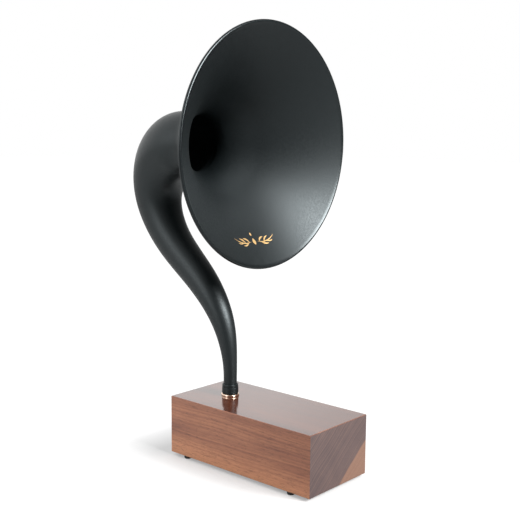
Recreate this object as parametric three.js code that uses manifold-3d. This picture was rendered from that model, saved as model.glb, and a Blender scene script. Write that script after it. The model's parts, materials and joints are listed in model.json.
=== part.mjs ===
// Wireless horn loudspeaker in the style of a gramophone: a steel bell and a swan neck that stand on a
// hollow walnut block, with the driver, amplifier and battery inside the block.
// Millimetres, +Z up. The bell faces -Y. Heights are measured from the surface that the feet stand on.
import * as THREE from "three";
import { mergeVertices } from "three/addons/utils/BufferGeometryUtils.js";
import Module from "manifold-3d";

const wasm = await Module();
wasm.setup();

// Driving dimensions
const block = { width: 111, length: 234, height: 76.5, wall: 10, top: 12, bevel: 0.6 };
const foot = { radius: 4.8, height: 4, fromSide: 5.6, fromRear: 25.5, fromFront: 32.5 };
const stemFromRear = 54.2; // the neck's vertical axis, ahead of the block's rear end
const mouth = { radius: 151.5, ahead: 66.1, above: 327.1, dip: 1.03 }; // above the wood; dip in degrees
const sheet = { neck: 1.3, bell: 1.2 }; // steel thicknesses
const rim = { roll: 2.2, slope: 52.5 }; // the rolled edge, and the bell's angle to its axis there
const throat = { depth: 120, radius: 41.3, slope: 19 }; // where the bell meets the neck
const gap = 0.3; // clearance between neighbouring pieces

// Planes and places that follow from them; the neck's axis is x = 0, y = 0
const woodBottom = foot.height;
const woodTop = woodBottom + block.height;
const rearFace = stemFromRear;
const frontFace = rearFace - block.length;
const middle = (rearFace + frontFace) / 2;
const ceiling = woodTop - block.top;
const degree = Math.PI / 180;

// ---- Solids -------------------------------------------------------------------------------------

function solid(geometry) {
  const bare = geometry.clone();
  bare.deleteAttribute("normal");
  bare.deleteAttribute("uv");
  const merged = mergeVertices(bare, 1e-4);
  const triVerts = new Uint32Array(merged.index.array);
  const vertProperties = merged.attributes.position.array;
  return new wasm.Manifold(new wasm.Mesh({ numProp: 3, vertProperties, triVerts }));
}

function geometryOf(manifold) {
  const mesh = manifold.getMesh();
  const geometry = new THREE.BufferGeometry();
  geometry.setAttribute("position", new THREE.BufferAttribute(new Float32Array(mesh.vertProperties), 3));
  geometry.setIndex(new THREE.BufferAttribute(new Uint32Array(mesh.triVerts), 1));
  geometry.computeVertexNormals();
  return geometry;
}

function cut(body, ...tools) {
  return geometryOf(tools.reduce((left, tool) => left.subtract(solid(tool)), solid(body)));
}

function join(body, ...others) {
  return geometryOf(others.reduce((sum, other) => sum.add(solid(other)), solid(body)));
}

// A box between two corners.
function box(low, high) {
  const size = high.map((value, i) => value - low[i]);
  const centre = high.map((value, i) => (value + low[i]) / 2);
  return new THREE.BoxGeometry(...size).translate(...centre);
}

// A solid of revolution about +Z from a closed outline of [radius, height] points.
function turned(outline, sides = 24) {
  const next = (i) => outline[(i + 1) % outline.length];
  const area = outline.reduce((sum, [r, z], i) => sum + r * next(i)[1] - next(i)[0] * z, 0);
  const ordered = area > 0 ? outline : [...outline].reverse();
  const onAxis = ordered.findIndex(([r], i) => r === 0 && ordered.at(i - 1)[0] === 0);
  const fromAxis = [...ordered.slice(onAxis), ...ordered.slice(0, onAxis)];
  const loop = onAxis < 0 ? [...ordered, ordered[0]] : fromAxis;
  const points = loop.map(([r, z]) => new THREE.Vector2(r, z));
  return new THREE.LatheGeometry(points, sides).rotateX(Math.PI / 2);
}

function rod(radius, low, high, sides = 12) {
  return turned([[0, low], [radius, low], [radius, high], [0, high]], sides);
}

function ring(inner, outer, low, high, sides = 24) {
  return turned([[inner, low], [outer, low], [outer, high], [inner, high]], sides);
}

// A rod or other turned piece laid along +Y, with its axis at (x, z).
function alongY(geometry, x, z) {
  return geometry.rotateX(-Math.PI / 2).translate(x, 0, z);
}

// A round wire along a smooth curve through the given points.
function wire(points, radius, steps) {
  const path = new THREE.CatmullRomCurve3(points.map((point) => new THREE.Vector3(...point)));
  const section = new THREE.Shape().absarc(0, 0, radius, 0, 2 * Math.PI);
  const settings = { steps, curveSegments: 4, bevelEnabled: false, extrudePath: path };
  return new THREE.ExtrudeGeometry(section, settings);
}

// ---- Materials ----------------------------------------------------------------------------------

const finish = (color, roughness, metalness) =>
  new THREE.MeshStandardMaterial({ color, roughness, metalness });
const blackCoat = () => finish(0x15191a, 0.45, 0.2);
const walnut = () => finish(0x6e4632, 0.4, 0);
const roseGold = () => finish(0xd99a7c, 0.25, 1);
const steel = () => finish(0x9a9da0, 0.4, 1);
const rubber = () => finish(0x141414, 0.8, 0);
const blackPlastic = () => finish(0x1b1b1c, 0.5, 0);
const circuit = () => finish(0x1f5b33, 0.5, 0);
const nylon = () => finish(0xe8e4d8, 0.5, 0);
const lensPlastic = () => finish(0xdfe6ea, 0.2, 0);
const paper = () => finish(0x2a2a2c, 0.9, 0);
const cloth = () => finish(0xc9a45c, 0.9, 0);
const copperWire = () => finish(0xb87333, 0.4, 1);
const ferrite = () => finish(0x3a3a3c, 0.7, 0.2);
const wrap = () => finish(0x2c4f9a, 0.5, 0);
const aluminium = () => finish(0xb9bcc0, 0.4, 1);
const sleeving = (color) => finish(color, 0.6, 0);

const assembly = new THREE.Group();

function add(name, geometry, material, position = [0, 0, 0]) {
  const mesh = new THREE.Mesh(geometry, material);
  mesh.name = name;
  mesh.position.set(...position);
  assembly.add(mesh);
  return mesh;
}

// ---- Horn: bell and swan neck -------------------------------------------------------------------

// Control points of the neck's centre line, a uniform cubic B-spline in the plane x = 0:
// [distance behind the stem's axis, height above the wood, radius]
const neckPoints = [
  [0, -8.5, 8.7],
  [0, 20, 8.7],
  [0, 48.5, 9.2],
  [10, 99, 15.4],
  [49.5, 150, 21.3],
  [111.5, 194, 24.3],
  [144.5, 252, 30.7],
  [131, 302.5, 41.3],
  [93.5, 331, 46.6],
  [64, 329.6, 38.5],
  [54, 329.4, 41.2],
  [44, 329.2, 45.4],
];
const stem = { radius: 8.7, foot: 10.2, bead: 9.6, beadTop: 12.7 }; // heights above the wood

class NeckLine extends THREE.Curve {
  // The blended [behind, above, radius] at t from 0 to 1.
  blend(t) {
    const spans = neckPoints.length - 3;
    const span = Math.min(Math.floor(t * spans), spans - 1);
    const u = t * spans - span;
    const weights = [
      (1 - u) ** 3,
      3 * u ** 3 - 6 * u ** 2 + 4,
      -3 * u ** 3 + 3 * u ** 2 + 3 * u + 1,
      u ** 3,
    ];
    const near = neckPoints.slice(span, span + weights.length);
    return [0, 1, 2].map((axis) => weights.reduce((sum, w, i) => sum + (w / 6) * near[i][axis], 0));
  }
  getPoint(t) {
    const [behind, above] = this.blend(t);
    return new THREE.Vector3(0, behind, woodTop + above);
  }
}

// A tube of changing radius: rings along the outside, then back along the inside, closed on themselves.
function neckTube(rings, sides) {
  const line = new NeckLine();
  const up = new THREE.Vector3(0, 0, 1);
  const stemEnd = { centre: new THREE.Vector3(0, 0, woodTop + stem.foot), along: up, radius: stem.radius };
  const stations = [stemEnd];
  for (let i = 0; i <= rings; i++) {
    const t = i / rings;
    stations.push({ centre: line.getPoint(t), along: line.getTangent(t), radius: line.blend(t)[2] });
  }
  const across = new THREE.Vector3(1, 0, 0);
  const ringOf = ({ centre, along, radius }, thickness) => {
    const outward = along.clone().cross(across);
    const reach = radius - thickness;
    return Array.from({ length: sides }, (_, j) => {
      const angle = (2 * Math.PI * j) / sides;
      const point = centre.clone().addScaledVector(across, reach * Math.cos(angle));
      return point.addScaledVector(outward, reach * Math.sin(angle));
    });
  };
  const outside = stations.map((station) => ringOf(station, 0));
  const inside = stations.map((station) => ringOf(station, sheet.neck)).reverse();
  const rows = [...outside, ...inside];
  const index = [];
  rows.forEach((_, k) => {
    for (let j = 0; j < sides; j++) {
      const nextRow = ((k + 1) % rows.length) * sides;
      const nextSide = (j + 1) % sides;
      const [a, b, c, d] = [k * sides + j, k * sides + nextSide, nextRow + nextSide, nextRow + j];
      index.push(a, b, c, a, c, d);
    }
  });
  return new THREE.BufferGeometry().setFromPoints(rows.flat()).setIndex(index);
}

function hornNeck() {
  const bead = ring(stem.radius - 0.7, stem.bead, woodTop + stem.foot, woodTop + stem.beadTop, 24);
  return join(neckTube(20, 24), bead);
}

// The bell's outline of [radius, depth behind the mouth]: the rolled rim, the outside, the sleeve that
// slips into the neck, and the inside, which runs smoothly into the sleeve as the wall grows thicker.
function bellOutline(spans) {
  const half = sheet.bell / 2;
  const tangent = [rim.slope, throat.slope].map((angle) => Math.tan(angle * degree));
  const roll = [mouth.radius - rim.roll, rim.roll];
  const lean = [Math.cos(rim.slope * degree), Math.sin(rim.slope * degree)];
  const edge = roll.map((value, i) => value - lean[i] * (rim.roll - half));
  const root = [throat.radius - half, throat.depth];
  const [rise, depth] = [edge[0] - root[0], root[1] - edge[1]];
  const reach = (rise - tangent[0] * depth) / (tangent[1] - tangent[0]);
  const corner = [root[0] + tangent[1] * reach, root[1] - reach];
  const controls = [edge, corner, root].map((point) => new THREE.Vector2(...point));
  const flare = new THREE.QuadraticBezierCurve(...controls);
  const side = (offset) =>
    flare.getPoints(spans).map((point, i) => {
      const along = flare.getTangent(i / spans);
      return [point.x + offset * along.y, point.y - offset * along.x];
    });
  const meet = Math.acos((half - (rim.roll - half)) / rim.roll) / degree;
  const rollPoints = Array.from({ length: 8 }, (_, i) => {
    const angle = (rim.slope - 180 + ((180 + meet) * i) / 7) * degree;
    return [roll[0] + rim.roll * Math.cos(angle), roll[1] + rim.roll * Math.sin(angle)];
  });
  const sleeve = { outer: 37.8, inner: 36.8, end: throat.depth + 6, shoulder: throat.depth - 0.5 };
  const thickening = { from: 84, to: sleeve.shoulder, by: root[0] - half - sleeve.inner };
  const inside = side(-half).map(([radius, at]) => {
    const share = Math.max(0, (at - thickening.from) / (thickening.to - thickening.from));
    return [radius - thickening.by * share ** 1.5, at];
  });
  return [
    ...rollPoints,
    ...side(half).slice(1, -1),
    [throat.radius, sleeve.shoulder],
    [sleeve.outer, sleeve.shoulder],
    [sleeve.outer, sleeve.end],
    [sleeve.inner, sleeve.end],
    [sleeve.inner, sleeve.shoulder],
    ...inside.slice(1, -1).reverse(),
  ];
}

add("horn_neck", hornNeck(), blackCoat());
const mouthCentre = [0, -mouth.ahead, woodTop + mouth.above];
const bell = add("horn_bell", turned(bellOutline(9), 40), blackCoat(), mouthCentre);
bell.rotation.x = (mouth.dip - 90) * degree;

// ---- Coupling between horn and block ------------------------------------------------------------

const spigot = { bore: 5.8, shank: 8, head: 9.5, headLow: 2.9, headTop: 9, below: 8.5 };
const collar = {
  low: 3.1,
  top: 15.9,
  groove: 11.5,
  radius: 10.8,
  lipRadius: 10.5,
  bore: 9.85,
  lip: 9.05,
  lipLow: 14,
};

function couplingNut() {
  const { low, top, groove, bore, lip, lipLow, radius, lipRadius } = collar;
  const outline = [
    [bore, low],
    [radius - 0.3, low],
    [radius, low + 0.4],
    [radius, groove - 0.3],
    [lipRadius - 0.3, groove],
    [lipRadius, groove + 0.4],
    [lipRadius, top - 0.5],
    [lipRadius - 0.5, top],
    [lip, top],
    [lip, lipLow],
    [bore, lipLow],
  ];
  return turned(outline.map(([r, z]) => [r, z + woodTop]));
}

function throatSpigot() {
  const { bore, shank, head, headLow, headTop, below } = spigot;
  const low = ceiling - below;
  const outline = [
    [bore, low],
    [shank, low],
    [shank, woodTop + headLow],
    [head, woodTop + headLow],
    [head, woodTop + headTop],
    [bore, woodTop + headTop],
  ];
  return turned(outline, 24);
}

function copperRing() {
  const [inner, outer, low, top] = [spigot.shank + gap, 11.65, 0.1, 2.8];
  const outline = [
    [inner, low],
    [outer - 0.3, low],
    [outer, low + 0.5],
    [outer, top - 0.7],
    [outer - 0.7, top],
    [inner, top],
  ];
  return turned(outline.map(([r, z]) => [r, z + woodTop]));
}

const adapter = { outer: 34, inner: 27.5, plate: 3, low: 42.1 + woodBottom };
const plateLow = ceiling - adapter.plate - gap;
const lockNut = { radius: 13, height: 4 };

add("coupling_nut", couplingNut(), blackCoat());
const thrust = { inner: 9, outer: collar.bore - 0.25, low: stem.beadTop + 0.2, top: collar.lipLow - 0.2 };
add("thrust_ring", ring(thrust.inner, thrust.outer, woodTop + thrust.low, woodTop + thrust.top), nylon());
const seal = { inner: 6, outer: 9.3, low: spigot.headTop + 0.1, top: stem.foot - 0.1 };
add("throat_gasket", ring(seal.inner, seal.outer, woodTop + seal.low, woodTop + seal.top), rubber());
add("throat_spigot", throatSpigot(), steel());
add("copper_ring", copperRing(), roseGold());
const lockNutTop = plateLow - gap;
const lockNutBody = rod(lockNut.radius, lockNutTop - lockNut.height, lockNutTop, 6);
const lockNutBore = rod(spigot.shank + gap, lockNutTop - lockNut.height - 1, lockNutTop + 1, 24);
add("spigot_lock_nut", cut(lockNutBody, lockNutBore), steel());

// ---- Walnut block -------------------------------------------------------------------------------

const rebate = { margin: 5, depth: 3 }; // the bottom plate lies in it
const panel = { width: 80, height: 50, thick: 2, recess: 2.3, lip: 7, centre: woodBottom + 36 };
const panelScrew = { x: 36.5, z: 21.5, shank: 1.1, head: 2.3 };
const plateScrew = { x: 47.5, y: 106, shank: 1.4, head: 2.8 };

const insetBox = (side, low, high) => {
  const x = block.width / 2 - side;
  return box([-x, frontFace + side, low], [x, rearFace - side, high]);
};

const corners = (x, y) => [[-x, -y], [x, -y], [-x, y], [x, y]];

function walnutBody() {
  const { width, length, height, wall, bevel } = block;
  const [x, y] = [width / 2 - bevel, length / 2 - bevel];
  const around = [[-x, -y], [x, -y], [x, y], [-x, y]];
  const outline = new THREE.Shape(around.map((corner) => new THREE.Vector2(...corner)));
  const edge = { bevelThickness: bevel, bevelSize: bevel, bevelSegments: 1 };
  const settings = { depth: height - 2 * bevel, ...edge };
  const whole = new THREE.ExtrudeGeometry(outline, settings).translate(0, middle, woodBottom + bevel);
  const cavity = insetBox(wall, woodBottom - 1, ceiling);
  const plateSeat = insetBox(rebate.margin, woodBottom - 1, woodBottom + rebate.depth);
  const spigotHole = rod(spigot.shank + gap, ceiling - 1, woodTop + 1, 24);
  const recess = box(
    [-panel.width / 2, rearFace - panel.recess, panel.centre - panel.height / 2],
    [panel.width / 2, rearFace + 1, panel.centre + panel.height / 2],
  );
  const window = box(
    [panel.lip - panel.width / 2, rearFace - wall - 1, panel.centre + panel.lip - panel.height / 2],
    [panel.width / 2 - panel.lip, rearFace + 1, panel.centre - panel.lip + panel.height / 2],
  );
  const panelHoles = corners(panelScrew.x, panelScrew.z).map(([sx, sz]) =>
    alongY(rod(panelScrew.shank + gap, rearFace - 8, rearFace, 8), sx, panel.centre + sz),
  );
  const plateHoles = corners(plateScrew.x, plateScrew.y).map(([sx, sy]) =>
    rod(plateScrew.shank + gap, woodBottom, woodBottom + 14, 8).translate(sx, middle + sy, 0),
  );
  return cut(whole, cavity, plateSeat, spigotHole, recess, window, ...panelHoles, ...plateHoles);
}

// A slotted pan-head screw, pointing along +Z from the head's seat at z = 0.
function screw(shank, head, length) {
  const thick = head * 0.5;
  const outline = [
    [0, -thick],
    [head * 0.7, -thick],
    [head, -thick * 0.4],
    [head, 0],
    [shank, 0],
    [shank, length],
    [0, length],
  ];
  const body = turned(outline, 8);
  const slot = head * 0.6;
  const blade = box([-slot, -0.25, -thick - 1], [slot, 0.25, -thick * 0.4]);
  return cut(body, blade);
}

const plate = { low: woodBottom + 0.1, thick: 2.6 };

function bottomPlate() {
  const sheetBody = insetBox(rebate.margin + gap, plate.low, plate.low + plate.thick);
  const screwHoles = corners(plateScrew.x, plateScrew.y).map(([x, y]) =>
    rod(plateScrew.shank + gap, plate.low - 1, plate.low + 4, 8).translate(x, middle + y, 0),
  );
  const vents = Array.from({ length: 7 }, (_, i) => {
    const x = (i - 3) * 8;
    return box([x - 1.5, middle - 12, plate.low - 1], [x + 1.5, middle + 12, plate.low + 4]);
  });
  return cut(sheetBody, ...screwHoles, ...vents);
}

add("walnut_body", walnutBody(), walnut());
add("bottom_plate", bottomPlate(), steel());
corners(plateScrew.x, plateScrew.y).forEach(([x, y], i) => {
  // The heads are lower than the feet, so they clear the surface below.
  const seat = [x, middle + y, plate.low - 0.1];
  add("bottom_screw_" + (i + 1), screw(plateScrew.shank, plateScrew.head, 12), steel(), seat);
});
// Round pads stuck under the wood and the plate, front pair first.
[frontFace + foot.fromFront, rearFace - foot.fromRear].forEach((y, pair) => {
  [-1, 1].forEach((side, i) => {
    const { radius } = foot;
    const top = woodBottom - 0.1;
    const pad = turned([[0, 0], [radius - 0.8, 0], [radius, 0.8], [radius, top], [0, top]], 16);
    const place = [side * (block.width / 2 - foot.fromSide), y, 0];
    add("rubber_foot_" + (2 * pair + i + 1), pad, rubber(), place);
  });
});

// ---- Rear control panel -------------------------------------------------------------------------

const panelInside = rearFace - panel.recess + 0.1;
const panelOutside = panelInside + panel.thick;
const knob = { x: 26, radius: 9, low: rearFace + 0.6, length: 11, shaft: 3 };
const button = { radius: 3.6, travel: 1, proud: 1.4, inner: 48.2, flange: 4.6 };
const buttonX = { power: 10, pairing: -2 };
const lens = { x: 4, z: 9, radius: 1.2 };
const jack = { x: -14, radius: 3, bore: 1.8 };
const usb = { x: -27, width: 9.2, height: 3.4 };
const board = { low: 38.6, thick: 1.6, width: 62, height: 30 };
const boardFace = board.low + board.thick + gap; // where the parts mounted on the board begin

const atPanel = (outline, x, z = 0, sides = 16) => alongY(turned(outline, sides), x, panel.centre + z);
const rodAtPanel = (radius, low, high, x, z = 0) => alongY(rod(radius, low, high, 14), x, panel.centre + z);

function rearPanel() {
  const [x, z] = [panel.width / 2 - gap, panel.height / 2 - gap];
  const body = box([-x, panelInside, panel.centre - z], [x, panelOutside, panel.centre + z]);
  const through = (radius, px, pz = 0) => rodAtPanel(radius, panelInside - 1, panelOutside + 1, px, pz);
  const usbSlot = box(
    [usb.x - usb.width / 2 - gap, panelInside - 1, panel.centre - usb.height / 2 - gap],
    [usb.x + usb.width / 2 + gap, panelOutside + 1, panel.centre + usb.height / 2 + gap],
  );
  const holes = [
    through(knob.shaft + gap, knob.x),
    through(button.radius + gap, buttonX.power),
    through(button.radius + gap, buttonX.pairing),
    through(lens.radius + gap, lens.x, lens.z),
    through(jack.radius + gap, jack.x),
    ...corners(panelScrew.x, panelScrew.z).map(([sx, sz]) => through(panelScrew.shank + gap, sx, sz)),
  ];
  return cut(body, usbSlot, ...holes);
}

function volumeKnob() {
  const { radius, low, length, shaft, x } = knob;
  const top = low + length;
  const bore = [[shaft + gap, low], [shaft + gap, top - 3], [0, top - 3], [0, top]];
  const skirt = [[radius - 1.2, top], [radius - 0.4, top - 0.8], [radius, low + 1], [radius, low]];
  const body = atPanel([...bore, ...skirt], x, 0, 24);
  const pointer = box([x - 0.5, top - 0.6, panel.centre + 2], [x + 0.5, top + 1, panel.centre + radius + 1]);
  const flutes = Array.from({ length: 12 }, (_, i) => {
    const angle = ((i + 0.5) * Math.PI) / 6;
    const reach = radius + 0.3;
    return rodAtPanel(0.8, low + 1.5, top + 1, x + reach * Math.sin(angle), reach * Math.cos(angle));
  });
  return cut(body, pointer, ...flutes);
}

function pushButton(x) {
  const { radius, inner, flange, proud } = button;
  const top = rearFace + proud;
  const outline = [
    [0, inner],
    [flange, inner],
    [flange, inner + 1],
    [radius, inner + 1],
    [radius, top - 0.5],
    [radius - 0.5, top],
    [0, top],
  ];
  return atPanel(outline, x);
}

function audioJack() {
  const body = box(
    [jack.x - 4, boardFace, panel.centre - 3.5],
    [jack.x + 4, panelInside - gap, panel.centre + 3.5],
  );
  const nose = rodAtPanel(jack.radius, panelInside - 1, panelOutside + 0.4, jack.x);
  const bore = rodAtPanel(jack.bore, panelInside - 8, panelOutside + 1, jack.x);
  return cut(join(body, nose), bore);
}

function usbPort() {
  const [x, z] = [usb.width / 2, usb.height / 2];
  const shell = (low, high, inset) =>
    box(
      [usb.x - x + inset, low, panel.centre - z + inset],
      [usb.x + x - inset, high, panel.centre + z - inset],
    );
  const tongue = box(
    [usb.x - 3, boardFace + 2.1, panel.centre - 0.35],
    [usb.x + 3, panelOutside - 0.8, panel.centre + 0.35],
  );
  const opened = cut(shell(boardFace, panelOutside, 0), shell(boardFace + 3.1, panelOutside + 1, 0.4));
  return join(opened, tongue);
}

// The circuit board behind the panel, with a tactile switch soldered behind each button.
function controlBoard() {
  const [x, z] = [board.width / 2, board.height / 2];
  const sheetBody = box([-x, board.low, panel.centre - z], [x, board.low + board.thick, panel.centre + z]);
  const plungerTop = button.inner - button.travel - gap;
  const switches = Object.values(buttonX).flatMap((sx) => [
    box([sx - 3, board.low + 1, panel.centre - 3], [sx + 3, plungerTop - 1.5, panel.centre + 3]),
    rodAtPanel(1.6, plungerTop - 2, plungerTop, sx),
  ]);
  return join(sheetBody, ...switches);
}

const potentiometerTop = 48;
const potentiometer = box(
  [knob.x - 5, boardFace, panel.centre - 5],
  [knob.x + 5, potentiometerTop, panel.centre + 5],
);

add("rear_panel", rearPanel(), blackPlastic());
corners(panelScrew.x, panelScrew.z).forEach(([x, z], i) => {
  const mesh = add("panel_screw_" + (i + 1), screw(panelScrew.shank, panelScrew.head, 7), steel());
  mesh.position.set(x, panelOutside + 0.1, panel.centre + z);
  mesh.rotation.x = Math.PI / 2;
});
add("control_board", controlBoard(), circuit());
add("volume_potentiometer", potentiometer, blackPlastic());
const shaftTop = knob.low + knob.length - 3 - gap;
add("volume_shaft", rodAtPanel(knob.shaft, potentiometerTop + gap, shaftTop, knob.x), steel());
add("volume_knob", volumeKnob(), blackPlastic());
add("power_button", pushButton(buttonX.power), blackPlastic());
add("pairing_button", pushButton(buttonX.pairing), blackPlastic());
const lensRod = rodAtPanel(lens.radius, panelInside - 4, panelOutside + gap, lens.x, lens.z);
add("status_lens", lensRod, lensPlastic());
add("aux_jack", audioJack(), blackPlastic());
add("usb_port", usbPort(), steel());

// ---- Driver under the throat --------------------------------------------------------------------

const driver = { flange: adapter.low - 1.2, cone: 20, coil: 8.6, seat: 22.5, screwRing: 31 };
const coneTop = driver.flange - 1.2;
const coneLow = coneTop - 9;
const motorTop = coneLow - 8;

function throatAdapter() {
  const cup = rod(adapter.outer, adapter.low, ceiling - gap, 32);
  const chamber = rod(adapter.inner, adapter.low - 1, plateLow, 32);
  const hole = rod(spigot.shank + gap, plateLow - 1, ceiling + 1, 24);
  return cut(cup, chamber, hole, ...driverScrewHoles(adapter.low - 1, adapter.low + 9));
}

const driverScrews = corners(driver.screwRing * Math.SQRT1_2, driver.screwRing * Math.SQRT1_2);

function driverScrewHoles(low, high) {
  return driverScrews.map(([x, y]) => rod(1.5, low, high, 10).translate(x, y, 0));
}

function driverFrame() {
  const { flange, seat } = driver;
  const low = motorTop - 0.2;
  const outline = [
    [11, low + 0.1],
    [20.5, low + 0.1],
    [seat + 3, flange - 2],
    [adapter.outer, flange - 2],
    [adapter.outer, flange],
    [seat + 3.6, flange],
    [seat + 1.4, flange - 3],
    [18.6, low + 1.9],
    [11, low + 1.9],
  ];
  const windows = Array.from({ length: 4 }, (_, i) => {
    const gate = box([-7, 14, low + 3], [7, 40, flange - 4.5]);
    return gate.rotateZ((i * Math.PI) / 2);
  });
  return cut(turned(outline), ...windows, ...driverScrewHoles(flange - 4, flange + 1));
}

// A paper cone, open at both ends, [radius, height] along its slope.
const coneOutline = [
  [driver.coil + 0.4, coneLow],
  [driver.cone, coneTop],
  [driver.cone, coneTop + 1],
  [driver.coil + 0.4, coneLow + 1.2],
];

// The half-round roll between the cone's edge and the frame.
function coneSurround() {
  const [inner, outer] = [driver.cone + gap, driver.seat + 1.7];
  const [middleRadius, half] = [(inner + outer) / 2, (outer - inner) / 2];
  const arch = (radius, count) =>
    Array.from({ length: count + 1 }, (_, i) => {
      const angle = (Math.PI * i) / count;
      return [middleRadius + radius * Math.cos(angle), coneTop + radius * Math.sin(angle)];
    });
  return turned([...arch(half, 5), ...arch(half - 0.6, 5).reverse()], 28);
}

const capOutline = [[0, 4.2], [5, 3.4], [8.2, 1.5], [7.6, 1.4], [4.8, 2.6], [0, 3.4]];
const dustCap = turned(capOutline.map(([r, z]) => [r, coneLow + z]), 20);

// The corrugated ring that centres the coil.
function spider() {
  const [inner, outer, middleHeight] = [driver.coil + 0.7, 18, coneLow - 3.5];
  const wave = (i) => middleHeight + (i % 2 ? 0.8 : -0.8);
  const radii = Array.from({ length: 6 }, (_, i) => inner + ((outer - inner) * i) / 5);
  const under = radii.map((r, i) => [r, wave(i)]);
  const over = radii.map((r, i) => [r, wave(i) + 0.5]);
  return turned([...under, ...over.reverse()]);
}

const motor = { plate: 3, magnet: 7, yoke: 3.5, radius: 20, pole: 7.3 };
const plateBottom = motorTop - motor.plate - gap;
const magnetBottom = plateBottom - motor.magnet;

function yoke() {
  const low = magnetBottom - motor.yoke;
  const top = magnetBottom - 0.1;
  const poleTop = motorTop - gap;
  const edge = motor.radius - 1;
  return turned([[0, low], [edge, low], [edge, top], [motor.pole, top], [motor.pole, poleTop], [0, poleTop]]);
}

add("throat_adapter", throatAdapter(), blackPlastic());
const driverSeal = ring(adapter.inner, adapter.outer, driver.flange + 0.1, adapter.low - 0.1);
add("driver_gasket", cut(driverSeal, ...driverScrewHoles(driver.flange - 1, adapter.low + 1)), rubber());
add("driver_frame", driverFrame(), steel());
driverScrews.forEach(([x, y], i) => {
  add("driver_screw_" + (i + 1), screw(1.2, 2.3, 9), steel(), [x, y, driver.flange - 2.1]);
});
add("cone_surround", coneSurround(), rubber());
add("speaker_cone", turned(coneOutline, 28), paper());
add("dust_cap", dustCap, paper());
add("voice_coil", ring(driver.coil - 0.6, driver.coil, motorTop - 5, coneLow - gap), copperWire());
add("centring_spider", spider(), cloth());
const topPlate = ring(driver.coil + 0.6, motor.radius, plateBottom + 0.1, motorTop - gap);
add("motor_top_plate", topPlate, steel());
add("motor_magnet", ring(11, motor.radius + 1, magnetBottom, plateBottom), ferrite());
add("motor_yoke", yoke(), steel());

// ---- Amplifier, battery and leads ---------------------------------------------------------------

const floor = plate.low + plate.thick;
const amplifier = { y: -72, width: 62, length: 46, low: floor + 8, thick: 1.6 };
const battery = { y: -136, width: 70, radius: 9.4, spacing: 19.4 };
const posts = corners(amplifier.width / 2 - 5, amplifier.length / 2 - 5);

// Two round cells side by side in one wrap, lying across the block.
function batteryPack() {
  const outline = new THREE.Shape();
  outline.absarc(battery.spacing / 2, 0, battery.radius, -Math.PI / 2, Math.PI / 2);
  outline.absarc(-battery.spacing / 2, 0, battery.radius, Math.PI / 2, 1.5 * Math.PI);
  const settings = { depth: battery.width, bevelEnabled: false, curveSegments: 8 };
  const pack = new THREE.ExtrudeGeometry(outline, settings);
  pack.rotateX(Math.PI / 2).rotateZ(Math.PI / 2);
  return pack.translate(-battery.width / 2, battery.y, floor + battery.radius + gap);
}

// A folded steel strap over the pack, with a foot at each end.
function batteryStrap() {
  const [y, top] = [battery.spacing / 2 + battery.radius + 1.5, 2 * battery.radius + 1];
  const reach = y + 9;
  const thick = 1.1;
  const foldY = y + thick;
  const under = [[-reach, 0.1], [-y, 0.1], [-y, top], [y, top], [y, 0.1], [reach, 0.1]];
  const fold = [[foldY, 0.1], [foldY, top], [-foldY, top], [-foldY, 0.1]];
  const over = fold.map(([py, pz]) => [py, pz + thick]);
  const outline = [...under, [reach, 0.1 + thick], ...over, [-reach, 0.1 + thick]];
  const shape = new THREE.Shape(outline.map((point) => new THREE.Vector2(...point)));
  const width = 16;
  const strap = new THREE.ExtrudeGeometry(shape, { depth: width, bevelEnabled: false });
  return strap.rotateX(Math.PI / 2).rotateZ(Math.PI / 2).translate(-width / 2, battery.y, floor);
}

// The board's chips are low blocks, and its power stage carries a finned heat sink of its own.
function amplifierBoard() {
  const { width, length, low, thick, y } = amplifier;
  const sheetBody = box([-width / 2, y - length / 2, low], [width / 2, y + length / 2, low + thick]);
  // Across and along from the board's middle, width, length and height
  const chip = (x, cy, w, l, h) =>
    box([x - w / 2, y + cy - l / 2, low + 1], [x + w / 2, y + cy + l / 2, low + thick + h]);
  const processors = [chip(-20, 8, 14, 12, 2.4), chip(-20, -10, 8, 8, 1.5)];
  const sockets = [chip(22, 12, 8, 6, 5), chip(22, -10, 8, 6, 5)];
  const chips = [...processors, ...sockets];
  const capacitors = [-4, 8].map((x) => rod(3.5, low + 1, low + 11, 14).translate(x, y - 15, 0));
  const holes = posts.map(([x, py]) => rod(1.9, low - 1, low + 4, 10).translate(x, y + py, 0));
  return cut(join(sheetBody, ...chips, ...capacitors), ...holes);
}

function heatSink() {
  const low = amplifier.low + amplifier.thick + 0.1;
  const [front, rear] = [amplifier.y - 7, amplifier.y + 13];
  const body = box([-8, front, low], [12, rear, low + 2.5]);
  const fins = Array.from({ length: 6 }, (_, i) => {
    const x = -8 + i * 3.7;
    return box([x, front, low + 2], [x + 1.5, rear, low + 12]);
  });
  return join(body, ...fins);
}

// A nylon post that snaps into the board.
function boardPost() {
  const { low, thick } = amplifier;
  const [foot, seat, snap] = [floor + 0.1, low - 0.1, low + thick + 0.2];
  const pillar = [[0, foot], [3, foot], [3, seat], [1.6, seat]];
  const head = [[1.6, snap], [2.3, snap], [1.2, snap + 2], [0, snap + 2]];
  return turned([...pillar, ...head], 12);
}

add("battery_pack", batteryPack(), wrap());
add("battery_strap", batteryStrap(), steel());
add("amplifier_board", amplifierBoard(), circuit());
add("heat_sink", heatSink(), aluminium());
posts.forEach(([x, y], i) => {
  add("board_post_" + (i + 1), boardPost(), nylon(), [x, amplifier.y + y, 0]);
});

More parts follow.
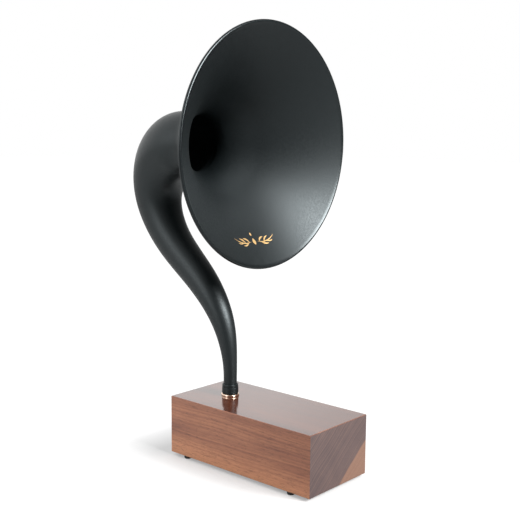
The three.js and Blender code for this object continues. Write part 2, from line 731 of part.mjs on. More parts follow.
const boardTop = amplifier.low + amplifier.thick;
const batteryLead = [
  [30, battery.y + 21, floor + 10],
  [30, battery.y + 26, floor + 14],
  [27, battery.y + 34, boardTop + 8],
  [24, amplifier.y - 20, boardTop + 6],
  [22, amplifier.y - 15, boardTop + 4],
];
const speakerLead = [
  [22, amplifier.y + 16.5, boardTop + 4],
  [25, amplifier.y + 24, boardTop + 5],
  [28, amplifier.y + 36, boardTop + 6],
  [27, amplifier.y + 50, boardTop + 5],
  [22.5, -10, boardTop + 3],
];
const controlLead = [
  [-29.2, amplifier.y + 8, boardTop + 1.8],
  [-36, amplifier.y + 14, boardTop + 6],
  [-42, -30, boardTop + 10],
  [-42, 0, boardTop + 12],
  [-38, 24, boardTop + 12],
  [-29, board.low - 1.2, boardTop + 12],
];
const leadRadius = 1.3;
add("battery_lead", wire(batteryLead, leadRadius, 14), sleeving(0xa11f1f));
add("speaker_lead", wire(speakerLead, leadRadius, 16), sleeving(0x222222));
add("control_lead", wire(controlLead, leadRadius, 22), sleeving(0x8d8d8d));

// The part's origin is the middle of its outer box, on the surface that it stands on.
assembly.updateMatrixWorld(true);
const bounds = new THREE.Box3().setFromObject(assembly, true);
assembly.position.y = -(bounds.min.y + bounds.max.y) / 2;

export default assembly;
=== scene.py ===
"""Looks for the wireless horn loudspeaker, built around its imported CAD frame.

Metres, +Z up, the bell faces -Y. The bell, the neck, the coupling nut and the rose-gold ring are smooth
meshes that stand for their faceted CAD solids. Every other node keeps its CAD shape. All materials are
procedural.
"""
import json
import math

import bmesh
import bpy
from mathutils import Matrix, Vector


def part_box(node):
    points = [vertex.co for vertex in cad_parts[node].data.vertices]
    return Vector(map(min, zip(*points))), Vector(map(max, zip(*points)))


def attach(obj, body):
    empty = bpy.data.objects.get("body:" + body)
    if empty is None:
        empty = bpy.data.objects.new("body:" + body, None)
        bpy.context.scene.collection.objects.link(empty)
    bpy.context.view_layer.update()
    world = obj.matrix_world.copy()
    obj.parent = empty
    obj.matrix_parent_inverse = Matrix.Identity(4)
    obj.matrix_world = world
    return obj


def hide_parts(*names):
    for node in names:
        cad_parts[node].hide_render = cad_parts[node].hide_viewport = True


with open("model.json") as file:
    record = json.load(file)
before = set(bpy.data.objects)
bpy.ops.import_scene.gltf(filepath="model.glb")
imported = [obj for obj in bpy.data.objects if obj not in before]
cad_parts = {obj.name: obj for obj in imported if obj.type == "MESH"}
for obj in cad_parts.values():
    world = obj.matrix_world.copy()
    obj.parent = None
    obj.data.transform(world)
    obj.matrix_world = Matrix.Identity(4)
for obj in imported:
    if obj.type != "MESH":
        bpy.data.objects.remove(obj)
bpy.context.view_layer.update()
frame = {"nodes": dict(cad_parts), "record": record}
scene = bpy.context.scene

MM = 0.001
UP = Vector((0, 0, 1))


def middle_of(node):
    low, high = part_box(node)
    return (low + high) / 2


WOOD_LOW, WOOD_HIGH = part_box("walnut_body")
RING_MIDDLE = middle_of("copper_ring")
STEM = Vector((RING_MIDDLE.x, RING_MIDDLE.y, WOOD_HIGH.z))  # the stem's axis, on top of the wood


# ---- Camera -------------------------------------------------------------------------------------

def make_camera():
    azimuth, elevation, roll = (math.radians(angle) for angle in (-48.37, 8.05, 0.47))
    distance = 1.127
    aim = Vector((0, -0.0468, 0.2659))
    back = Vector((
        math.sin(azimuth) * math.cos(elevation),
        -math.cos(azimuth) * math.cos(elevation),
        math.sin(elevation),
    ))
    right = Vector((math.cos(azimuth), math.sin(azimuth), 0))
    up = back.cross(right)
    rolled_right = right * math.cos(roll) + up * math.sin(roll)
    rolled_up = up * math.cos(roll) - right * math.sin(roll)
    data = bpy.data.cameras.new("photo_camera")
    data.lens = 62.03
    data.sensor_width = 36
    data.clip_start = 0.05
    camera = bpy.data.objects.new("photo_camera", data)
    turn = Matrix((rolled_right, rolled_up, back)).transposed()
    camera.matrix_world = Matrix.Translation(aim + back * distance) @ turn.to_4x4()
    scene.collection.objects.link(camera)
    scene.camera = camera


make_camera()


# ---- Node helpers -------------------------------------------------------------------------------

def fill_ramp(node, stops):
    """Gives a colour ramp its stops of (position, colour)."""
    elements = node.color_ramp.elements
    while len(elements) < len(stops):
        elements.new(0.5)
    for element, (position, colour) in zip(elements, stops):
        element.position = position
        element.color = (*colour, 1)


class Shader:
    """A material under construction: short ways to add nodes and join them."""

    def __init__(self, name):
        self.material = bpy.data.materials.new(name)
        self.material.use_nodes = True
        self.tree = self.material.node_tree
        self.surface = self.tree.nodes["Principled BSDF"]
        self.place = self.add("ShaderNodeTexCoord").outputs["Object"]

    def add(self, kind, **settings):
        node = self.tree.nodes.new(kind)
        for key, value in settings.items():
            setattr(node, key, value)
        return node

    def join(self, source, target):
        self.tree.links.new(source, target)

    def set(self, **values):
        for key, value in values.items():
            self.surface.inputs[key.replace("_", " ")].default_value = value
        return self

    def stretched(self, scale, place=None):
        node = self.add("ShaderNodeMapping")
        node.inputs["Scale"].default_value = scale
        self.join(place or self.place, node.inputs["Vector"])
        return node.outputs["Vector"]

    def noise(self, scale, detail=2.0, roughness=0.5, distortion=0.0, place=None):
        node = self.add("ShaderNodeTexNoise")
        node.inputs["Scale"].default_value = scale
        node.inputs["Detail"].default_value = detail
        node.inputs["Roughness"].default_value = roughness
        node.inputs["Distortion"].default_value = distortion
        self.join(place or self.place, node.inputs["Vector"])
        return node.outputs["Fac"]

    def ramp(self, factor, stops):
        node = self.add("ShaderNodeValToRGB")
        fill_ramp(node, stops)
        self.join(factor, node.inputs["Fac"])
        return node.outputs["Color"]

    def range(self, factor, low, high, start=0.0, stop=1.0):
        node = self.add("ShaderNodeMapRange")
        for key, value in (("From Min", start), ("From Max", stop), ("To Min", low), ("To Max", high)):
            node.inputs[key].default_value = value
        self.join(factor, node.inputs["Value"])
        return node.outputs["Result"]

    def maths(self, operation, first, second):
        node = self.add("ShaderNodeMath", operation=operation)
        for socket, value in zip(node.inputs, (first, second)):
            if isinstance(value, (int, float)):
                socket.default_value = value
            else:
                self.join(value, socket)
        return node.outputs[0]

    def blend(self, factor, first, second, kind="MIX"):
        node = self.add("ShaderNodeMix", data_type="RGBA", blend_type=kind)
        for socket, value in ((node.inputs[0], factor), (node.inputs[6], first), (node.inputs[7], second)):
            if isinstance(value, (int, float)):
                socket.default_value = value
            elif isinstance(value, tuple):
                socket.default_value = (*value, 1)
            else:
                self.join(value, socket)
        return node.outputs[2]

    def bump(self, height, strength, distance):
        node = self.add("ShaderNodeBump")
        node.inputs["Strength"].default_value = strength
        node.inputs["Distance"].default_value = distance
        self.join(height, node.inputs["Height"])
        self.join(node.outputs["Normal"], self.surface.inputs["Normal"])


# ---- Materials ----------------------------------------------------------------------------------

def powder_coat(name="powder_coat", rim=None, into=None):
    """Satin black powder coat: an orange-peel skin with a fine speckle.

    Where a rim is given, hands have polished it. The rim is a point in the plane of the piece's edge,
    and into is the direction from that plane into the piece.
    """
    polished, untouched = 0.8 * MM, 2.6 * MM  # how far from the edge the polish starts to fade, and ends
    s = Shader(name).set(IOR=1.5, Specular_Tint=(0.87, 0.97, 1.0, 1))
    speckle = s.noise(1300, 3, 0.7)
    peel = s.noise(420, 2)
    colour = s.ramp(speckle, [(0.30, (0.0004, 0.0012, 0.0015)), (0.72, (0.0022, 0.0038, 0.0043))])
    s.join(colour, s.surface.inputs["Base Color"])
    roughness = s.range(peel, 0.41, 0.49, 0.3, 0.7)
    if rim is not None:
        inward = s.add("ShaderNodeVectorMath", operation="DOT_PRODUCT")
        inward.inputs[1].default_value = into
        s.join(s.place, inward.inputs[0])
        edge = rim.dot(into)
        polish = s.range(inward.outputs["Value"], 0.66, 1.0, edge + polished, edge + untouched)
        roughness = s.maths("MULTIPLY", roughness, polish)
    s.join(roughness, s.surface.inputs["Roughness"])
    s.bump(s.blend(0.6, speckle, peel), 0.2, 0.2 * MM)
    return s.material


def walnut():
    """Solid walnut with its grain along Y, and pale sapwood in the lower corner at +X.

    The growth rings are so wide that they cross the block as slanting straight bands.
    """
    s = Shader("walnut").set(IOR=1.5, Coat_IOR=1.5, Coat_Roughness=0.07)
    parts = s.add("ShaderNodeSeparateXYZ")
    s.join(s.place, parts.inputs[0])
    x, z = parts.outputs["X"], parts.outputs["Z"]

    # How far out towards the bark, which lies to +X and down; the sapwood starts at 0
    sideways, downward, sway = 0.637, 0.77, 16 * MM
    wander = s.noise(1.0, 2, 0.5, place=s.stretched((9, 3.2, 9)))
    outward = s.maths("SUBTRACT", s.maths("MULTIPLY", x, sideways), s.maths("MULTIPLY", z, downward))
    outward = s.maths("ADD", outward, s.maths("MULTIPLY", s.maths("SUBTRACT", wander, 0.5), sway))

    # Broad figure, growth rings, fibres and pores, each long in the grain's direction
    figure = s.noise(1.0, 3, 0.55, 0.6, place=s.stretched((24, 4.0, 24)))
    rings = s.add("ShaderNodeTexNoise", noise_dimensions="1D")
    rings.inputs["Scale"].default_value = 430
    rings.inputs["Detail"].default_value = 3
    s.join(outward, rings.inputs["W"])
    rings = rings.outputs["Fac"]
    fibres = s.noise(1.0, 3, 0.65, place=s.stretched((800, 90, 800)))
    pores = s.noise(1.0, 2, 0.6, place=s.stretched((1300, 150, 1300)))

    # The heartwood's tone is made paler towards the block's foot
    paler_below = WOOD_LOW.z + 0.45 * (WOOD_HIGH.z - WOOD_LOW.z)
    paleness = s.range(z, 0.32, 0.0, WOOD_LOW.z, paler_below)
    tone = s.maths("ADD", s.blend(0.30, figure, rings), paleness)
    heart = s.ramp(tone, [
        (0.36, (0.195, 0.074, 0.046)),
        (0.48, (0.290, 0.115, 0.065)),
        (0.58, (0.385, 0.160, 0.086)),
        (0.70, (0.490, 0.215, 0.112)),
    ])
    heart = s.blend(s.range(fibres, 0, 0.45, 0.52, 0.72), heart, (0.055, 0.026, 0.020))
    sapwood = s.ramp(rings, [(0.3, (0.42, 0.185, 0.095)), (0.7, (0.56, 0.275, 0.150))])

    # Painted shade: the end faces, with their growth rings, are coloured darker and greyer than the long
    # sides
    facing = s.add("ShaderNodeSeparateXYZ")
    s.join(s.add("ShaderNodeTexCoord").outputs["Normal"], facing.inputs[0])
    end = s.range(s.maths("ABSOLUTE", facing.outputs["Y"], 0), 0, 1, 0.6, 0.9)
    shaded_end_grain = s.ramp(s.blend(0.35, rings, figure), [
        (0.34, (0.064, 0.044, 0.044)),
        (0.50, (0.094, 0.062, 0.058)),
        (0.66, (0.124, 0.080, 0.069)),
    ])
    # Painted shade on the end faces, over heartwood and sapwood alike
    heart = s.blend(end, heart, shaded_end_grain)
    sapwood = s.blend(s.maths("MULTIPLY", end, 0.70), sapwood, (0.062, 0.050, 0.050))
    wood = s.blend(s.range(outward, 0, 1, -1.8 * MM, 1.2 * MM), heart, sapwood)
    wood = s.blend(s.range(pores, 0, 0.65, 0.62, 0.72), wood, (0.025, 0.012, 0.009))

    # The lacquered top is glossy, and its colour is multiplied deeper and redder: painted shade against the
    # strong light from above
    top = s.range(facing.outputs["Z"], 0, 1, 0.6, 0.9)
    wood = s.blend(top, wood, s.blend(1.0, wood, (0.23, 0.155, 0.13), "MULTIPLY"))
    s.join(wood, s.surface.inputs["Base Color"])
    satin = s.range(fibres, 0.40, 0.55)
    s.join(s.maths("MULTIPLY", satin, s.range(top, 1.0, 0.35)), s.surface.inputs["Roughness"])
    s.join(s.range(top, 0.12, 0.45), s.surface.inputs["Coat Weight"])
    s.bump(s.maths("MULTIPLY", fibres, s.range(top, 1.0, 0.05)), 0.12, 0.2 * MM)
    return s.material


def mottled(name, colour, roughness, metallic=0.0, scale=400, depth=0.08 * MM, contrast=0.25):
    """A plain moulded, plated or rubber skin: colour and roughness wander a little, over a fine bump."""
    coarser = 14  # the wear's patches against the skin's grain
    s = Shader(name).set(Metallic=metallic)
    skin = s.noise(scale, 3, 0.6)
    wear = s.noise(scale / coarser, 3, 0.5)
    dark = tuple(c * (1 - contrast) for c in colour)
    light = tuple(min(1, c * (1 + contrast)) for c in colour)
    s.join(s.ramp(wear, [(0.3, dark), (0.7, light)]), s.surface.inputs["Base Color"])
    s.join(s.range(skin, roughness * 0.8, min(1, roughness * 1.2), 0.3, 0.7), s.surface.inputs["Roughness"])
    s.bump(skin, 0.25, depth)
    return s.material


def brushed(name, colour, roughness):
    """Sheet metal with fine brush lines along Y."""
    s = Shader(name).set(Metallic=1.0)
    lines = s.noise(1.0, 3, 0.6, place=s.stretched((1800, 30, 1800)))
    dark = tuple(c * 0.8 for c in colour)
    s.join(s.ramp(lines, [(0.3, dark), (0.7, colour)]), s.surface.inputs["Base Color"])
    s.join(s.range(lines, roughness * 0.8, roughness * 1.3), s.surface.inputs["Roughness"])
    s.bump(lines, 0.15, 0.05 * MM)
    return s.material


def woven(name, colour, threads):
    """A treated cloth: two crossed sets of threads, with dark holes between them."""
    s = Shader(name).set(Roughness=0.85)
    waves = []
    for direction in ("X", "Y"):
        wave = s.add("ShaderNodeTexWave", bands_direction=direction)
        wave.inputs["Scale"].default_value = threads
        s.join(s.place, wave.inputs["Vector"])
        waves.append(wave.outputs["Fac"])
    cloth = s.maths("MULTIPLY", *waves)
    dark = tuple(c * 0.45 for c in colour)
    s.join(s.ramp(cloth, [(0.1, dark), (0.6, colour)]), s.surface.inputs["Base Color"])
    s.bump(cloth, 0.5, 0.3 * MM)
    return s.material


def circuit_board():
    """Green solder mask over copper tracks."""
    s = Shader("circuit_board").set(Roughness=0.35)
    tracks = s.add("ShaderNodeTexBrick", offset=0.3)
    tracks.inputs["Scale"].default_value = 150
    tracks.inputs["Mortar Size"].default_value = 0.06
    colours = {"Color1": (0.01, 0.10, 0.035), "Color2": (0.014, 0.13, 0.045), "Mortar": (0.05, 0.30, 0.10)}
    for key, colour in colours.items():
        tracks.inputs[key].default_value = (*colour, 1)
    s.join(s.place, tracks.inputs["Vector"])
    s.join(tracks.outputs["Color"], s.surface.inputs["Base Color"])
    s.bump(tracks.outputs["Fac"], 0.2, 0.1 * MM)
    return s.material


MATERIALS = {
    "powder_coat": powder_coat(),
    "walnut": walnut(),
    "rose_gold": mottled(
        "rose_gold", (0.96, 0.72, 0.57), 0.16, metallic=1.0, scale=900, depth=0.02 * MM, contrast=0.06
    ),
    "rubber": mottled("rubber", (0.016, 0.016, 0.016), 0.75, scale=700),
    "zinc_steel": brushed("zinc_steel", (0.62, 0.63, 0.64), 0.3),
    "black_plastic": mottled("black_plastic", (0.022, 0.022, 0.024), 0.48, scale=1100),
    "clear_lens": mottled(
        "clear_lens", (0.75, 0.80, 0.84), 0.12, scale=300, depth=0.01 * MM, contrast=0.05
    ),
    "nylon": mottled("nylon", (0.78, 0.75, 0.68), 0.5, scale=500, contrast=0.06),
    "paper_cone": mottled("paper_cone", (0.035, 0.035, 0.038), 0.9, scale=600, depth=0.2 * MM),
    "spider_cloth": woven("spider_cloth", (0.52, 0.38, 0.20), threads=420),
    "coil_copper": mottled("coil_copper", (0.75, 0.38, 0.22), 0.3, metallic=1.0, scale=900),
    "ferrite": mottled("ferrite", (0.06, 0.06, 0.063), 0.65, scale=500, depth=0.2 * MM),
    "circuit_board": circuit_board(),
    "battery_wrap": mottled(
        "battery_wrap", (0.05, 0.12, 0.40), 0.3, scale=120, depth=0.2 * MM, contrast=0.1
    ),
    "bare_aluminium": brushed("bare_aluminium", (0.75, 0.76, 0.78), 0.35),
    "lead_sleeve": mottled("lead_sleeve", (0.10, 0.03, 0.03), 0.5, scale=800),
}


def dress_cad_nodes():
    """Gives each carried-over CAD node the material of its slot in the record."""
    for part in frame["record"]["subparts"]:
        mesh = frame["nodes"][part["node"]].data
        mesh.materials.clear()
        mesh.materials.append(MATERIALS[part["material_slot"]])


dress_cad_nodes()


# ---- Mesh helpers -------------------------------------------------------------------------------

def smooth_by_angle(mesh, degrees):
    """Shades smooth, with the edges sharper than this angle kept crisp."""
    build = bmesh.new()
    build.from_mesh(mesh)
    bmesh.ops.recalc_face_normals(build, faces=build.faces)
    for face in build.faces:
        face.smooth = True
    for edge in build.edges:
        edge.smooth = edge.calc_face_angle(0) < math.radians(degrees)
    build.to_mesh(mesh)
    build.free()


def make_piece(name, points, faces, body, crisp, slot=None, material=None):
    """A smooth piece that rides a body. It wears its slot's material, or one of its own."""
    mesh = bpy.data.meshes.new(name)
    mesh.from_pydata([tuple(point) for point in points], [], faces)
    mesh.validate()
    smooth_by_angle(mesh, crisp)
    mesh.materials.append(material or MATERIALS[slot])
    piece = bpy.data.objects.new(name, mesh)
    scene.collection.objects.link(piece)
    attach(piece, body)
    return piece


def loop_faces(rows, sides):
    """Quads between rings of points, where the last ring joins the first."""
    faces = []
    for row in range(rows):
        here, there = row * sides, (row + 1) % rows * sides
        for side in range(sides):
            after = (side + 1) % sides
            faces.append((here + side, here + after, there + after, there + side))
    return faces


def revolve(outline, sides, place):
    """Points and faces of a closed outline of (radius, height), turned about the Z axis of place."""
    points = []
    for radius, height in outline:
        for side in range(sides):
            angle = 2 * math.pi * side / sides
            points.append(place @ Vector((radius * math.cos(angle), radius * math.sin(angle), height)))
    return points, loop_faces(len(outline), sides)


def arc(centre, radius, start, stop, steps):
    """Points along a circle, with both angles in degrees."""
    angles = [math.radians(start + (stop - start) * step / steps) for step in range(steps + 1)]
    return [(centre[0] + radius * math.cos(a), centre[1] + radius * math.sin(a)) for a in angles]


# ---- Horn ---------------------------------------------------------------------------------------

NECK_WALL = 1.3 * MM
BELL_WALL = 1.2 * MM
RIM_ROLL = 2.2 * MM  # outer radius of the rolled rim
RIM_SLOPE = 52.5  # degrees between the wall and the bell's axis, at the rim
THROAT_SLOPE = 19  # and at the throat
THROAT_DEPTH = 120 * MM
THROAT_RADIUS = 41.3 * MM  # outside the wall
SLEEVE_RADIUS = 37.8 * MM
SLEEVE_BORE = 36.8 * MM
SLEEVE_REACH = 6 * MM  # how far the sleeve slips into the neck
EASE_FROM = 76 * MM  # how deep in the bell its inside starts to ease into the sleeve
MOUTH_RADIUS = (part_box("horn_bell")[1].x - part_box("horn_bell")[0].x) / 2
MOUTH_DIP = math.radians(1.03)
MOUTH = STEM + Vector((0, -66.1 * MM, 327.1 * MM))
BELL_PLACE = Matrix.Translation(MOUTH) @ Matrix.Rotation(MOUTH_DIP - math.pi / 2, 4, "X")

# Control points of the neck's centre line in millimetres: behind the stem, above the wood, radius
NECK_POINTS = (
    (0, -8.5, 8.7),
    (0, 20, 8.7),
    (0, 48.5, 9.2),
    (10, 99, 15.4),
    (49.5, 150, 21.3),
    (111.5, 194, 24.3),
    (144.5, 252, 30.7),
    (131, 302.5, 41.3),
    (93.5, 331, 46.6),
    (64, 329.6, 38.5),
    (54, 329.4, 41.2),
    (44, 329.2, 45.4),
)
STEM_RADIUS = 8.7 * MM
STEM_FOOT = 10.2 * MM  # how high the neck's foot stands above the wood


def neck_station(t):
    """Centre, direction and radius of the neck at t from 0 to 1, along a uniform cubic B-spline."""
    spans = len(NECK_POINTS) - 3
    span = min(int(t * spans), spans - 1)
    u = t * spans - span
    values = ((1 - u) ** 3, 3 * u**3 - 6 * u**2 + 4, -3 * u**3 + 3 * u**2 + 3 * u + 1, u**3)
    slopes = (-3 * (1 - u) ** 2, 9 * u**2 - 12 * u, -9 * u**2 + 6 * u + 3, 3 * u**2)
    near = NECK_POINTS[span:span + 4]
    behind, above, radius = (sum(w * p[axis] for w, p in zip(values, near)) / 6 * MM for axis in range(3))
    along = Vector((0, *(sum(w * p[axis] for w, p in zip(slopes, near)) for axis in range(2))))
    return STEM + Vector((0, behind, above)), along.normalized(), radius


def make_neck():
    """The swan neck: a tube along its centre line, out along the outer face and back along the inner."""
    rings, sides = 135, 96
    stations = [(STEM + UP * STEM_FOOT, UP, STEM_RADIUS)]
    stations += [neck_station(i / rings) for i in range(rings + 1)]
    rows = [(station, 0) for station in stations] + [(station, NECK_WALL) for station in reversed(stations)]
    points = []
    across = Vector((1, 0, 0))
    for (centre, along, radius), inset in rows:
        upward = along.cross(across)
        for side in range(sides):
            angle = 2 * math.pi * side / sides
            reach = radius - inset
            points.append(centre + across * reach * math.cos(angle) + upward * reach * math.sin(angle))
    neck = make_piece("neck_shell", points, loop_faces(len(rows), sides), "horn", 60, "powder_coat")
    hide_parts("horn_neck")


def flare(t):
    """The middle of the bell's wall at t from 0, at the rim, to 1, at the throat: point and tangent."""
    half = BELL_WALL / 2
    steep, shallow = math.tan(math.radians(RIM_SLOPE)), math.tan(math.radians(THROAT_SLOPE))
    lean = Vector((math.cos(math.radians(RIM_SLOPE)), math.sin(math.radians(RIM_SLOPE))))
    edge = Vector((MOUTH_RADIUS - RIM_ROLL, RIM_ROLL)) - lean * (RIM_ROLL - half)
    root = Vector((THROAT_RADIUS - half, THROAT_DEPTH))
    reach = ((edge.x - root.x) - steep * (root.y - edge.y)) / (shallow - steep)
    corner = root + Vector((shallow * reach, -reach))
    point = edge * (1 - t) ** 2 + corner * 2 * t * (1 - t) + root * t**2
    tangent = ((corner - edge) * (1 - t) + (root - corner) * t).normalized()
    return point, tangent


def flare_side(offset, steps):
    """The outer (+) or inner (-) face of the bell's wall, from the rim to the throat."""
    side = []
    for step in range(steps + 1):
        point, tangent = flare(step / steps)
        side.append(point + Vector((tangent.y, -tangent.x)) * offset)
    return side


def eased(start, slope, stop, steps):
    """Points of a curve of (radius, depth) that leaves start at this slope and reaches stop level."""
    points = []
    reach = stop[1] - start[1]
    for step in range(1, steps + 1):
        t = step / steps
        level = start[0] + (stop[0] - start[0]) * t * t * (3 - 2 * t) + slope * reach * t * (1 - t) ** 2
        points.append((level, start[1] + reach * t))
    return points


def make_bell():
    """The bell: rolled rim, flare, shoulder and sleeve, and back up the inside."""
    half = BELL_WALL / 2
    meet = math.degrees(math.acos((BELL_WALL - RIM_ROLL) / RIM_ROLL))
    roll = arc((MOUTH_RADIUS - RIM_ROLL, RIM_ROLL), RIM_ROLL, RIM_SLOPE - 180, RIM_SLOPE + meet, 22)
    shoulder, end = THROAT_DEPTH - 0.4 * MM, THROAT_DEPTH + SLEEVE_REACH
    sleeve = [(THROAT_RADIUS, shoulder), (SLEEVE_RADIUS, shoulder), (SLEEVE_RADIUS, end)]
    outside = [tuple(point) for point in flare_side(half, 60)[1:-1]]
    inside = [tuple(point) for point in flare_side(-half, 60)[1:-1] if point.y < EASE_FROM]
    last, before = inside[-1], inside[-2]
    slope = (last[0] - before[0]) / (last[1] - before[1])
    inside += eased(last, slope, (SLEEVE_BORE, end), 14)
    inside.reverse()
    points, faces = revolve([*roll, *outside, *sleeve, *inside], 192, BELL_PLACE)
    coat = powder_coat("bell_coat", MOUTH, BELL_PLACE.to_3x3() @ UP)
    bell = make_piece("bell_shell", points, faces, "horn", 50, "powder_coat", coat)
    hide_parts("horn_bell")


make_neck()
make_bell()


# ---- Coupling -----------------------------------------------------------------------------------

def on_wood(outline):
    """An outline in millimetres above the wood, about the stem's axis."""
    return [(radius * MM, height * MM) for radius, height in outline]


def make_nut():
    """The black ferrule, with a groove round its outside and an inner lip at its top."""
    bore, lip, radius, lip_radius = 9.85, 9.05, 10.8, 10.5
    low, groove, top, lip_low = 3.1, 11.5, 15.9, 14
    groove_half, groove_depth = 0.45, 0.25
    foot_round, below_groove, above_groove, top_round = 0.9, 0.35, 0.3, 0.6
    outline = [
        (bore, low),
        *arc((radius - foot_round, low + foot_round), foot_round, -90, 0, 6),
        *arc((radius - below_groove, groove - groove_half), below_groove, 0, 75, 5),
        (lip_radius - groove_depth, groove),
        *arc((lip_radius - above_groove, groove + groove_half), above_groove, -60, 0, 3),
        *arc((lip_radius - top_round, top - top_round), top_round, 0, 90, 6),
        (lip, top),
        (lip, lip_low),
        (bore, lip_low),
    ]
    points, faces = revolve(on_wood(outline), 96, Matrix.Translation(STEM))
    nut = make_piece("nut_shell", points, faces, "coupling_nut", 50, "powder_coat")
    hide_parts("coupling_nut")


def make_ring():
    """The ring on the wood, rounded on its upper edge."""
    inner, outer, low, top = 8.3, 11.65, 0.1, 2.8
    foot_round, top_round = 0.3, 0.8
    outline = [
        (inner, low),
        *arc((outer - foot_round, low + foot_round), foot_round, -90, 0, 4),
        *arc((outer - top_round, top - top_round), top_round, 0, 90, 8),
        (inner, top),
    ]
    points, faces = revolve(on_wood(outline), 96, Matrix.Translation(STEM))
    ring = make_piece("rose_gold_ring", points, faces, "block", 50, "rose_gold")
    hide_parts("copper_ring")


make_nut()
make_ring()


# ---- Ornament inside the bell -------------------------------------------------------------------

ORNAMENT_RADIUS = 120 * MM  # of the bell, where the ornament's middle lies
ORNAMENT_SLOPE = 47  # degrees between the wall and the bell's axis there
ORNAMENT_LIFT = 0.12 * MM
ORNAMENT_DEPTH = 0.10 * MM

# The strokes of the spray on one side, in millimetres from the middle: start, bend, stop and width
SPRAY = (
    ((6, 0), (20, -6.5), (37, 1.5), 1.5),
    ((9, -1.5), (12, 5), (19, 4.5), 2.4),
    ((17, -2.5), (20, 3), (27, 3.5), 2.2),
    ((12, -2.5), (17, -7.5), (23, -7), 2.0),
    ((21, -2.6), (26, -6), (31, -4.5), 1.8),
)
# The two lozenges in the middle
LOZENGES = (
    ((0, -5), (0, 0), (0, 5), 5.5),
    ((0, 9), (0, 11.5), (0, 14), 3.2),
)


def flare_at(radius):
    """The t at which the bell's wall has this radius."""
    low, high = 0.0, 1.0
    for _ in range(40):
        guess = (low + high) / 2
        low, high = (guess, high) if flare(guess)[0].x > radius else (low, guess)
    return low


def on_bell(u, v, lift):
    """A point of the bell's inside, u to the right and v upward of the ornament's middle, in metres."""
    point, tangent = flare(flare_at(ORNAMENT_RADIUS - v * math.sin(math.radians(ORNAMENT_SLOPE))))
    inward = Vector((-tangent.y, tangent.x))
    place = point + inward * (BELL_WALL / 2 + lift)
    angle = -math.pi / 2 + u / ORNAMENT_RADIUS
    local = Vector((place.x * math.cos(angle), -place.x * math.sin(angle), place.y))
    return BELL_PLACE @ local


def leaf(start, bend, stop, width, steps):
    """A stroke along a curve from start over bend to stop that swells to width: rows of two edge points."""
    rows = []
    for step in range(steps + 1):
        t = step / steps
        centre = start * (1 - t) ** 2 + bend * 2 * t * (1 - t) + stop * t**2
        along = ((bend - start) * (1 - t) + (stop - bend) * t).normalized()
        half = width / 2 * math.sin(math.pi * min(max(t, 0.02), 0.98)) ** 0.8
        side = Vector((-along.y, along.x)) * half
        rows.append((centre - side, centre + side))
    return rows


def strip_faces(first, count):
    """Closed faces round a thin strip of count rows of four points: two below, two above."""
    faces = [(first + 3, first + 2, first + 1, first), (*range(first + 4 * count - 4, first + 4 * count),)]
    for row in range(count - 1):
        here = first + 4 * row
        for corner in range(4):
            after = (corner + 1) % 4
            faces.append((here + corner, here + after, here + after + 4, here + corner + 4))
    return faces


def make_ornament():
    """Two mirrored sprays of leaves beside a lozenge, with a smaller lozenge above."""
    strokes = []
    for group, side, steps in ((SPRAY, -1, 16), (SPRAY, 1, 16), (LOZENGES, 1, 8)):
        for *corners, width in group:
            start, bend, stop = (Vector((side * x, y)) * MM for x, y in corners)
            strokes.append(leaf(start, bend, stop, width * MM, steps))
    points, faces = [], []
    for rows in strokes:
        faces += strip_faces(len(points), len(rows))
        for left, right in rows:
            low, high = ORNAMENT_LIFT, ORNAMENT_LIFT + ORNAMENT_DEPTH
            corners = ((left, low), (right, low), (right, high), (left, high))
            points += [on_bell(*edge, lift) for edge, lift in corners]
    ink = mottled(
        "gold_ink", (0.72, 0.47, 0.20), 0.42, metallic=0.65, scale=900, depth=0.03 * MM, contrast=0.15
    )
    make_piece("bell_ornament", points, faces, "horn", 30, material=ink)


make_ornament()


# ---- Floor, light and world ---------------------------------------------------------------------

def make_floor():
    """A white floor. To the camera it glows more away from the block, so that no horizon shows.

    What it throws back at the object is dimmer, and dimmest in front of the bell.
    """
    reach = 12
    # Painted light: the floor's glow is weaker near the block, so the block's shadow shows there and fades
    # out further off
    near, far = 25 * MM, 100 * MM  # from the block: where the glow starts to grow, and where it is full
    mesh = bpy.data.meshes.new("floor")
    corners = [(-reach, -reach, 0), (reach, -reach, 0), (reach, reach, 0), (-reach, reach, 0)]
    mesh.from_pydata(corners, [], [(0, 1, 2, 3)])
    s = Shader("floor_white").set(Roughness=0.9, Specular_IOR_Level=0.0, Emission_Color=(1, 1, 1, 1))

    # How far a place on the floor lies from the block's outline. The metre added upward drops the height
    footprint = (WOOD_HIGH - WOOD_LOW) / 2 + UP
    distance = s.place
    for operation, value in (
        ("SUBTRACT", middle_of("walnut_body")),
        ("ABSOLUTE", None),
        ("SUBTRACT", footprint),
        ("MAXIMUM", Vector()),
        ("LENGTH", None),
    ):
        step = s.add("ShaderNodeVectorMath", operation=operation)
        s.join(distance, step.inputs[0])
        if value is not None:
            step.inputs[1].default_value = value
        distance = step.outputs["Value" if operation == "LENGTH" else "Vector"]
    beyond = s.range(distance, 0, 1, near, far)
    s.join(s.ramp(beyond, [(0, (0.44,) * 3), (1, (0.08,) * 3)]), s.surface.inputs["Base Color"])
    s.join(s.range(beyond, 0.30, 1.0), s.surface.inputs["Emission Strength"])

    # What all rays but the camera's see
    dim = s.add("ShaderNodeBsdfDiffuse")
    parts = s.add("ShaderNodeSeparateXYZ")
    s.join(s.place, parts.inputs[0])
    behind = s.range(parts.outputs["Y"], 0, 1, -0.2, 0.4)
    s.join(s.ramp(behind, [(0, (0.24,) * 3), (1, (0.70,) * 3)]), dim.inputs["Color"])
    path = s.add("ShaderNodeLightPath")
    choose = s.add("ShaderNodeMixShader")
    s.join(path.outputs["Is Camera Ray"], choose.inputs[0])
    s.join(dim.outputs[0], choose.inputs[1])
    s.join(s.surface.outputs[0], choose.inputs[2])
    s.join(choose.outputs[0], s.tree.nodes["Material Output"].inputs["Surface"])
    mesh.materials.append(s.material)
    floor = bpy.data.objects.new("floor", mesh)
    scene.collection.objects.link(floor)


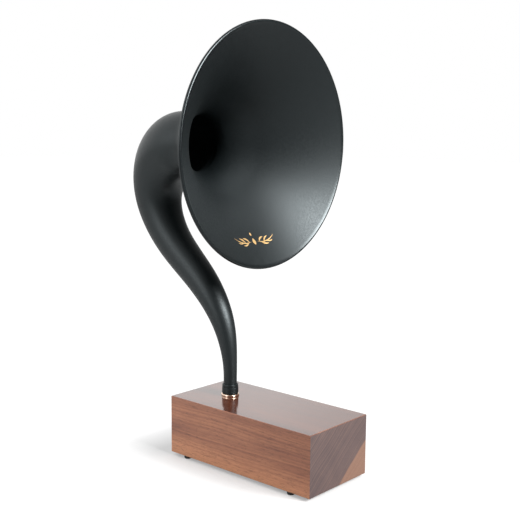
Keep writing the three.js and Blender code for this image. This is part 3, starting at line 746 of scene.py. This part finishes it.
def add_softbox(name, direction, distance, size, power):
    """A rectangular area light that looks at the middle of the object."""
    target = Vector((0, 0, 0.3))
    data = bpy.data.lights.new(name, "AREA")
    data.shape = "RECTANGLE"
    data.size, data.size_y = size
    data.energy = power
    light = bpy.data.objects.new(name, data)
    light.location = target + Vector(direction).normalized() * distance
    light.rotation_euler = (target - light.location).to_track_quat("-Z", "Y").to_euler()
    scene.collection.objects.link(light)


def make_world():
    """White to the camera. To the light, a studio: white behind and to the left, dim elsewhere."""
    bright_side = Vector((-0.3, 0.95, -0.05)).normalized()
    # The light's level against its direction, from 0 opposite the bright side to 1 straight towards it
    stops = ((0.0, 0.125), (0.40, 0.145), (0.56, 0.60), (0.68, 1.0))
    world = bpy.data.worlds.new("studio")
    scene.world = world
    world.use_nodes = True
    tree = world.node_tree
    tree.nodes.clear()
    output = tree.nodes.new("ShaderNodeOutputWorld")
    backdrop, studio = (tree.nodes.new("ShaderNodeBackground") for _ in range(2))
    backdrop.inputs["Color"].default_value = (1, 1, 1, 1)
    backdrop.inputs["Strength"].default_value = 1.0
    studio.inputs["Strength"].default_value = 1.4
    place = tree.nodes.new("ShaderNodeTexCoord")
    towards = tree.nodes.new("ShaderNodeVectorMath")
    towards.operation = "DOT_PRODUCT"
    towards.inputs[1].default_value = bright_side
    ramp = tree.nodes.new("ShaderNodeValToRGB")
    fill_ramp(ramp, [(position, (level,) * 3) for position, level in stops])
    half = tree.nodes.new("ShaderNodeMapRange")
    half.inputs["From Min"].default_value = -1
    choose = tree.nodes.new("ShaderNodeMixShader")
    path = tree.nodes.new("ShaderNodeLightPath")
    links = tree.links.new
    links(place.outputs["Generated"], towards.inputs[0])
    links(towards.outputs["Value"], half.inputs["Value"])
    links(half.outputs["Result"], ramp.inputs["Fac"])
    links(ramp.outputs["Color"], studio.inputs["Color"])
    links(path.outputs["Is Camera Ray"], choose.inputs["Fac"])
    links(studio.outputs["Background"], choose.inputs[1])
    links(backdrop.outputs["Background"], choose.inputs[2])
    links(choose.outputs["Shader"], output.inputs["Surface"])


make_floor()
make_world()
add_softbox("front_softbox", direction=(0.13, -0.86, 0.50), distance=2.0, size=(1.0, 1.0), power=98)
add_softbox("left_softbox", direction=(-1.0, 0.12, 0.30), distance=2.0, size=(0.8, 1.2), power=9)
scene.view_settings.view_transform = "Standard"
